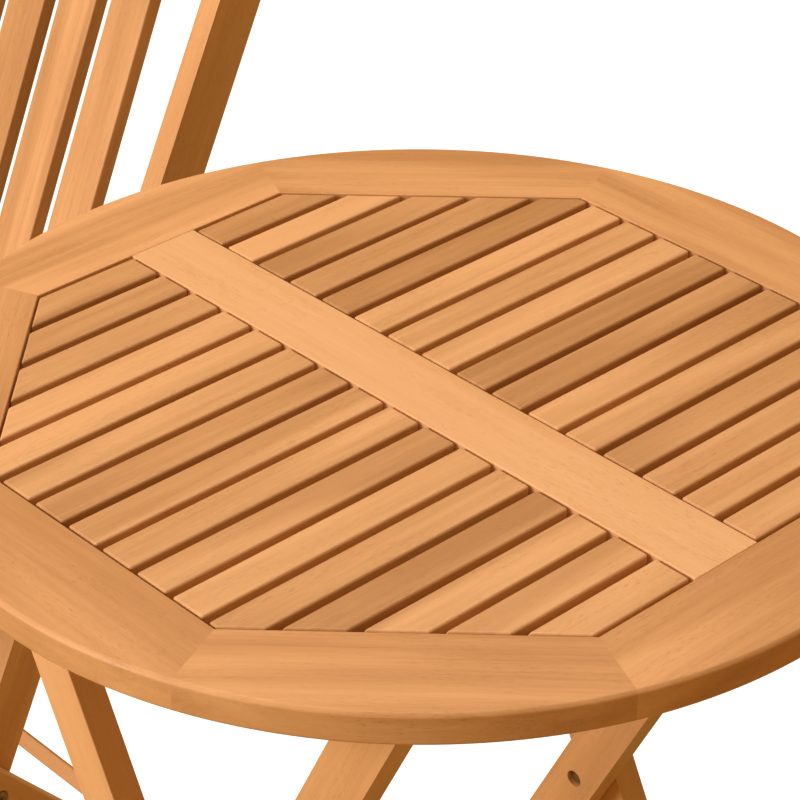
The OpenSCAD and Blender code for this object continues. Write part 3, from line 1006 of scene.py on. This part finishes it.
@dataclass
class Workshop:
    """What every sub-assembly shares: the frame, the finishes and the hand tools."""

    frame: dict
    palette: Palette
    boards: BoardWork
    slats: SlatLayer
    screws: ScrewSetter

    def body_of(self, node: str) -> str:
        """Return the body that a CAD node rides on."""
        return self.frame["nodes"][node]["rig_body"]

    def settle(self, piece: bpy.types.Object, node: str) -> bpy.types.Object:
        """Let a piece stand for a CAD node: it rides on the same body, and the node is hidden.

        Args:
            piece: The piece.
            node: The CAD node that it replaces.

        Returns:
            The same piece.
        """
        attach(piece, self.body_of(node))
        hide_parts(node)
        LOG.info("%s on %s: %d faces", piece.name, self.body_of(node), len(piece.data.polygons))
        return piece

    def wood(self, node: str, finish: bpy.types.Material, ease: float | None = None,
             slot: Slot = Slot.FRAME, keep: Callable[[bmesh.types.BMFace], bool] | None = None,
             ) -> bpy.types.Object:
        """Finish a wooden CAD node as eased, grained boards.

        Args:
            node: The CAD node.
            finish: The wood's material.
            ease: The width of the edge rounding, in metres.
            slot: Not used.
            keep: Tells the faces whose edges stay sharp.

        Returns:
            The piece that stands for the node.
        """
        mesh = self.boards.copy_of(self.frame["nodes"][node])
        return self.settle(self.boards.finish(mesh, f"{node}_wood", finish, ease, keep), node)

    def laid(self, node: str, mesh: bpy.types.Mesh, finish: bpy.types.Material,
             ease: float | None = None) -> bpy.types.Object:
        """Finish a mesh of laid slats that stands for a CAD node.

        Args:
            node: The CAD node.
            mesh: The slats; it is removed.
            finish: The wood's material.
            ease: The width of the edge rounding, in metres.

        Returns:
            The piece that stands for the node.
        """
        slats = bmesh.new()
        slats.from_mesh(mesh)
        bpy.data.meshes.remove(mesh)
        bmesh.ops.remove_doubles(slats, verts=slats.verts, dist=MERGE)
        self.boards.join_flats(slats)
        return self.settle(self.boards.finish(slats, f"{node}_wood", finish, ease), node)

    def measured_row(self, node: str) -> BoardRow:
        """Measure the row of equal boards that a CAD node holds.

        Args:
            node: The CAD node.

        Returns:
            The row, in order of its boards' places.
        """
        mesh = self.boards.copy_of(self.frame["nodes"][node])
        mesh.normal_update()
        groups = self.boards.boards(mesh)
        along, across, through = self.boards.grain_frame(groups[0])
        centres = sorted((sum((v.co for v in g), Vector()) / len(g) for g in groups),
                         key=lambda c: tuple(round(k, 5) for k in c))
        reach = [max(v.co.dot(d) for v in groups[0]) - min(v.co.dot(d) for v in groups[0])
                 for d in (along, across, through)]
        mesh.free()
        turn = Matrix((along, across, through)).transposed().to_euler()
        step = (centres[-1] - centres[0]) / max(1, len(centres) - 1)
        return BoardRow(len(centres), centres[0], step, Vector(reach), Vector(turn))

    def row_of_slats(self, node: str, finish: bpy.types.Material) -> BoardRow:
        """Lay a chair's row of slats where its CAD node holds them, and return the row.

        Args:
            node: The CAD node.
            finish: The wood's material.

        Returns:
            The row.
        """
        row = self.measured_row(node)
        sizes = {"Count": row.count, "First": tuple(row.first), "Step": tuple(row.step),
                 "Slat Size": tuple(row.size), "Turn": tuple(row.turn)}
        self.laid(node, grow(f"{node}_row", self.slats.row(), sizes), finish)
        return row

    def end_screws(self, node: str, row: BoardRow, facing: Vector, from_end: float,
                   columns: list[float]) -> None:
        """Mark screws near both ends of each board in a row, on the boards' own body."""
        for place, out in row.screw_places(facing, from_end, columns):
            self.screws.mark(self.body_of(node), place, out)

    def bolt_faces(self, node: str, axis: int) -> list[Place]:
        """Measure the two outermost faces of a pair of bolts.

        Args:
            node: The CAD node of the bolts.
            axis: The number of the axis that they lie along.

        Returns:
            The middle of each face and the direction out of it.
        """
        low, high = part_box(node)
        middle = (low + high) / 2
        faces = []
        for end in (low, high):
            place = middle.copy()
            place[axis] = end[axis]
            faces.append((place, (place - middle).normalized()))
        return faces

    def steel(self, node: str, sockets: list[Place], ease: float = 0.35 * MM) -> bpy.types.Object:
        """Finish a steel CAD node: eased edges and hexagon sockets in its heads.

        Args:
            node: The CAD node.
            sockets: The middle of each head's face and the direction out of it.
            ease: The width of the edge rounding, in metres.

        Returns:
            The piece that stands for the node.
        """
        mesh = self.boards.copy_of(self.frame["nodes"][node])
        self.boards.ease_edges(mesh, ease)
        bmesh.ops.recalc_face_normals(mesh, faces=mesh.faces)
        piece = placed(f"{node}_steel", frozen(mesh, f"{node}_steel"))
        if sockets:
            cut_sockets(piece, sockets)
        piece.data.materials.clear()
        piece.data.materials.append(self.palette.steel)
        return self.settle(smooth(piece), node)


def cut_sockets(piece: bpy.types.Object, sockets: list[Place], flats: float = 5 * MM,
                depth: float = 1.5 * MM) -> None:
    """Cut hexagon sockets into a steel piece.

    Args:
        piece: The piece to cut.
        sockets: The middle of each face and the direction out of it.
        flats: The width across the hexagon's flats, in metres.
        depth: The sockets' depth, in metres.
    """
    tool = bmesh.new()
    for place, facing in sockets:
        aim = facing.to_track_quat("Z", "Y").to_matrix().to_4x4()
        aim.translation = place
        bmesh.ops.create_cone(tool, cap_ends=True, segments=6, radius1=flats / math.sqrt(3),
                              radius2=flats / math.sqrt(3), depth=2 * depth, matrix=aim)
    cutter = placed("socket tool", frozen(tool, "socket tool"))
    cut = piece.modifiers.new("sockets", "BOOLEAN")
    cut.operation, cut.solver, cut.object = "DIFFERENCE", "EXACT", cutter
    graph = bpy.context.evaluated_depsgraph_get()
    result = bpy.data.meshes.new_from_object(piece.evaluated_get(graph))
    piece.modifiers.clear()
    piece.data = result
    bpy.data.objects.remove(cutter)


# ------------------------------------------------------------- sub-assemblies


def on_mitre(face: bmesh.types.BMFace) -> bool:
    """Tell whether a face of the rim lies on a mitre, in a plane through the table's axis."""
    out = face.calc_center_median().to_2d().normalized()
    return abs(face.normal.z) < 0.1 and abs(face.normal.to_2d().dot(out)) < 0.1


@dataclass
class TableTop:
    """Round top: mitred rim, centre rail, two banks of slats, and the battens below."""

    shop: Workshop
    segments: int = 8
    slat_count: int = 16
    slat_gap: float = 5 * MM
    end_gap: float = 1.2 * MM
    rim_ease: float = 0.8 * MM
    slat_ease: float = 1.7 * MM
    screw_from_end: float = 20 * MM

    def build(self) -> None:
        """Build and dress every piece of the top."""
        for number in range(1, self.segments + 1):
            self.shop.wood(f"rim_segment_{number}", self.shop.palette.rim, self.rim_ease, keep=on_mitre)
        self.shop.wood("centre_rail", self.shop.palette.rail, self.rim_ease, Slot.SLATS)
        for side in Side:
            self.slat_bank(side)
        for node in ("rail_batten", "rest_stops"):
            self.shop.wood(node, self.shop.palette.frame)
        self.batten_screws("rail_batten")
        for side in Side:
            for place in ("mid", "side"):
                self.shop.wood(f"{place}_batten_{side.word}", self.shop.palette.frame)
                self.batten_screws(f"{place}_batten_{side.word}")
        self.shop.steel("top_pivot_bolts", self.shop.bolt_faces("top_pivot_bolts", 0))

    def slat_bank(self, side: Side) -> None:
        """Lay one bank of slats inside the octagon.

        Args:
            side: The side of the rail that the bank is on.
        """
        rail_low, rail_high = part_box("centre_rail")
        apothem = rail_high.y
        pitch = 2 * apothem / self.slat_count
        sizes = {"Count": self.slat_count, "Pitch": pitch, "Slat Width": pitch - self.slat_gap,
                 "Thickness": rail_high.z - rail_low.z, "Top": rail_high.z,
                 "Inner Edge": rail_high.x + self.end_gap,
                 "Corner Radius": (apothem - self.end_gap) / math.cos(HALF_CORNER), "Side": float(side.value)}
        mesh = grow(f"{side.word}_bank", self.shop.slats.octagon_bank(), sizes)
        self.shop.laid(f"top_slats_{side.word}", mesh, self.shop.palette.slat, self.slat_ease)

    def batten_screws(self, node: str) -> None:
        """Set a screw through a batten into every slat that crosses it, from below.

        Args:
            node: The batten's CAD node.
        """
        low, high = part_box(node)
        rail_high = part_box("centre_rail")[1]
        pitch = 2 * rail_high.y / self.slat_count
        if node == "rail_batten":
            middle = (rail_high.x + high.x) / 2
            columns = (-middle, middle)
        else:
            columns = ((low.x + high.x) / 2,)
        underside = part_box("mid_batten_left")[0].z if node != "rail_batten" else low.z
        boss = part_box("outer_leg_left")[1].y - 2 * self.screw_from_end
        end = min(high.y, boss) if node.startswith("side") else high.y - self.screw_from_end
        for number in range(self.slat_count):
            y = -rail_high.y + (number + 0.5) * pitch
            if low.y + self.screw_from_end < y < end:
                for x in columns:
                    place = Vector((x, y, underside))
                    self.shop.screws.mark(self.shop.body_of(node), place, Vector((0, 0, -1)))


@dataclass
class TableLegs:
    """Outer and inner leg frames, crossing at a pair of bolts."""

    shop: Workshop
    screw_from_end: float = 10 * MM
    screw_spread: float = 9 * MM

    def build(self) -> None:
        """Build and dress every piece of the two leg frames."""
        nodes = [f"{place}_leg_{side.word}" for place in ("outer", "inner") for side in Side]
        nodes += ["outer_stretcher", "inner_stretcher", "inner_top_bar"]
        for node in nodes:
            self.shop.wood(node, self.shop.palette.frame)
        for node, away in (("outer_stretcher", -1), ("inner_stretcher", 1)):
            row = self.shop.measured_row(node)
            self.shop.end_screws(node, row, Vector((0, away, 0)), self.screw_from_end,
                                 [-self.screw_spread, self.screw_spread])
        self.shop.steel("leg_cross_bolts", self.shop.bolt_faces("leg_cross_bolts", 0))


@dataclass
class FoldingChair:
    """One slatted folding chair: uprights with back and rails, rear legs, and seat."""

    shop: Workshop
    letter: str
    screw_from_end: float = 9 * MM

    def node(self, name: str) -> str:
        """Return a CAD node's full name."""
        return f"chair_{self.letter}_{name}"

    def build(self) -> None:
        """Build and dress every piece of the chair."""
        names = [f"{name}_{side.word}" for name in ("upright", "rear_leg", "seat_rail") for side in Side]
        names += ["top_rail", "low_back_rail", "front_stretcher", "rear_stretcher"]
        for name in names:
            self.shop.wood(self.node(name), self.shop.palette.frame)
        self.shop.row_of_slats(self.node("back_slats"), self.shop.palette.slat)
        seat = self.shop.row_of_slats(self.node("seat_slats"), self.shop.palette.slat)
        bar = self.shop.measured_row(self.node("rear_stretcher"))
        up = Vector((0, 0, 1))
        self.shop.end_screws(self.node("seat_slats"), seat, up, self.screw_from_end, [0.0])
        self.shop.end_screws(self.node("rear_stretcher"), bar, up, self.screw_from_end, [0.0])
        self.steelwork()

    def steelwork(self) -> None:
        """Finish the crossing bolts, the seat's axle and the slide pins."""
        bolts = self.node("cross_bolts")
        self.shop.steel(bolts, self.shop.bolt_faces(bolts, 1))
        self.shop.steel(self.node("seat_axle"), [])
        self.shop.steel(self.node("slide_pins"), [])


# -------------------------------------------------------------------- studio


@dataclass
class Studio:
    """Camera, pale floor and soft light."""

    azimuth: float = math.radians(-43.0)
    elevation: float = math.radians(32.17)
    distance: float = 1.617
    lens: float = 128.04
    aim: Vector = field(default_factory=lambda: Vector((-0.0177, -0.0023, 0.0)))
    ambient: Colour = (1.0, 0.66, 0.20)
    ambient_strength: float = 0.40
    key_place: Vector = field(default_factory=lambda: Vector((-2.8, 0.9, 1.75)))
    key_size: float = 1.3
    key_power: float = 80.0
    key_colour: Colour = (1.0, 0.97, 0.93)
    top_place: Vector = field(default_factory=lambda: Vector((0.3, 0.5, 3.2)))
    top_size: float = 2.2
    top_power: float = 46.0
    top_colour: Colour = (1.0, 0.98, 0.96)
    lamp_aim: Vector = field(default_factory=lambda: Vector((0.0, 0.0, 0.6)))
    floor_size: float = 30.0
    floor_shade: float = 0.55
    floor_glow: float = 0.8

    def build(self) -> None:
        """Make the camera, the floor and the lights."""
        bpy.context.scene.view_settings.view_transform = "Standard"
        self.camera()
        self.floor()
        self.lamp("key", self.key_place, self.key_size, self.key_power, self.key_colour)
        self.lamp("top", self.top_place, self.top_size, self.top_power, self.top_colour)
        self.sky()

    def camera(self) -> None:
        """Place the camera on the table's top at the set's viewing angle."""
        data = bpy.data.cameras.new("camera")
        data.lens, data.sensor_width = self.lens, 36.0
        camera = placed("camera", data)
        target = self.aim + Vector((0, 0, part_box("centre_rail")[1].z))
        back = Vector((math.sin(self.azimuth) * math.cos(self.elevation),
                       -math.cos(self.azimuth) * math.cos(self.elevation), math.sin(self.elevation)))
        camera.location = target + back * self.distance
        camera.rotation_mode = "QUATERNION"
        camera.rotation_quaternion = (-back).to_track_quat("-Z", "Y")
        data.clip_start, data.clip_end = 0.05, 60.0
        bpy.context.scene.camera = camera

    def floor(self) -> None:
        """Lay a pale floor that stays near white, with a faint shadow."""
        mesh = bmesh.new()
        bmesh.ops.create_grid(mesh, x_segments=1, y_segments=1, size=self.floor_size / 2)
        data = frozen(mesh, "floor")
        tree = ShaderTree("pale_floor")
        tree.shader.inputs["Base Color"].default_value = (*[self.floor_shade] * 3, 1.0)
        tree.shader.inputs["Roughness"].default_value = 0.9
        tree.shader.inputs["Specular IOR Level"].default_value = 0.0
        tree.shader.inputs["Emission Color"].default_value = (1.0, 1.0, 1.0, 1.0)
        tree.shader.inputs["Emission Strength"].default_value = self.floor_glow
        data.materials.append(tree.material)
        floor = placed("floor", data)
        floor.visible_diffuse = False
        floor.visible_glossy = False

    def lamp(self, name: str, place: Vector, size: float, power: float, colour: Colour) -> None:
        """Hang a square soft light, turned to the table.

        Args:
            name: The lamp's name.
            place: Where it hangs.
            size: The length of its sides, in metres.
            power: Its power, in watts.
            colour: The colour of its light.
        """
        data = bpy.data.lights.new(name, "AREA")
        data.size, data.energy, data.color = size, power, colour
        lamp = placed(name, data)
        lamp.location = place
        lamp.rotation_mode = "QUATERNION"
        lamp.rotation_quaternion = (self.lamp_aim - place).to_track_quat("-Z", "Y")

    def sky(self) -> None:
        """Surround the set with a dim warm fill that the camera sees as white."""
        world = bpy.data.worlds.new("studio")
        world.use_nodes = True
        bpy.context.scene.world = world
        nodes, links = world.node_tree.nodes, world.node_tree.links
        nodes.clear()
        output = nodes.new("ShaderNodeOutputWorld")
        blend = nodes.new("ShaderNodeMixShader")
        path = nodes.new("ShaderNodeLightPath")
        fill, seen = nodes.new("ShaderNodeBackground"), nodes.new("ShaderNodeBackground")
        fill.inputs["Color"].default_value = (*self.ambient, 1.0)
        fill.inputs["Strength"].default_value = self.ambient_strength
        seen.inputs["Color"].default_value = (1.0, 1.0, 1.0, 1.0)
        seen.inputs["Strength"].default_value = 1.0
        links.new(path.outputs["Is Camera Ray"], blend.inputs[0])
        links.new(fill.outputs[0], blend.inputs[1])
        links.new(seen.outputs[0], blend.inputs[2])
        links.new(blend.outputs[0], output.inputs["Surface"])


def main() -> None:
    """Build the set in order: top, legs, chairs, screws, studio."""
    logging.basicConfig(level=logging.INFO, format="%(name)s: %(message)s")
    for item in list(bpy.data.objects):
        bpy.data.objects.remove(item)
    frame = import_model()
    palette = Palette()
    shop = Workshop(frame, palette, BoardWork(), SlatLayer(palette.slat), ScrewSetter(palette.steel))
    TableTop(shop).build()
    TableLegs(shop).build()
    for letter in ("a", "b"):
        FoldingChair(shop, letter).build()
    shop.screws.build()
    Studio().build()


if __name__ == "__main__":
    main()
